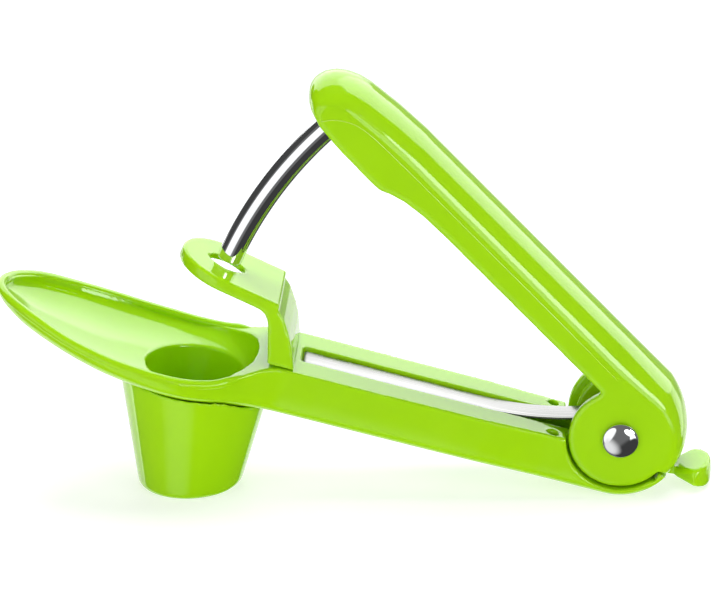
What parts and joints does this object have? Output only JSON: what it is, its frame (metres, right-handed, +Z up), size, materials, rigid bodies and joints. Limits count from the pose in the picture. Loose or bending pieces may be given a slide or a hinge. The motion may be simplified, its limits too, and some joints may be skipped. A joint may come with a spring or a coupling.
{
  "type": "cherry pitter",
  "caption": "Handheld cherry pitter: spoon tray over a pitting cup, arched punch rod in a guide bracket, sprung squeeze handle and lock latch.",
  "frame": {"origin": "on the table under the middle of the tool's length and width, with the cup's foot and the hinge's cradle standing on the table", "axes": "+X from the spoon tip towards the hinge and latch, +Y along the hinge axis, +Z up"},
  "size_m": [0.1808, 0.0448, 0.1105],
  "materials": {
    "green_plastic": "gloss",
    "chrome": "polished",
    "spring_steel": "brushed"
  },
  "bodies": {
    "arm": {"base_arm": "green_plastic", "pit_cup": "green_plastic", "guide_bracket": "green_plastic", "leaf_spring": "spring_steel", "hinge_pin": "chrome", "hinge_pin_cap": "chrome", "latch_pin": "spring_steel"},
    "handle": {"handle_shell": "green_plastic", "punch_rod": "chrome"},
    "latch": {"lock_latch": "green_plastic"}
  },
  "joints": [
    {"name": "squeeze", "type": "hinge", "parent": "arm", "child": "handle", "pos_m": [0.06713, 0, 0.0162], "axis": [0, -1, 0], "range_deg": [0, 23.6], "stiffness_Nm_per_rad": 1.2, "springref_deg": -17.19, "deforming": ["leaf_spring"]},
    {"name": "lock", "type": "hinge", "parent": "arm", "child": "latch", "pos_m": [0.07513, 0, 0.00596], "axis": [0, 1, 0], "range_deg": [0, 5.5]}
  ]
}
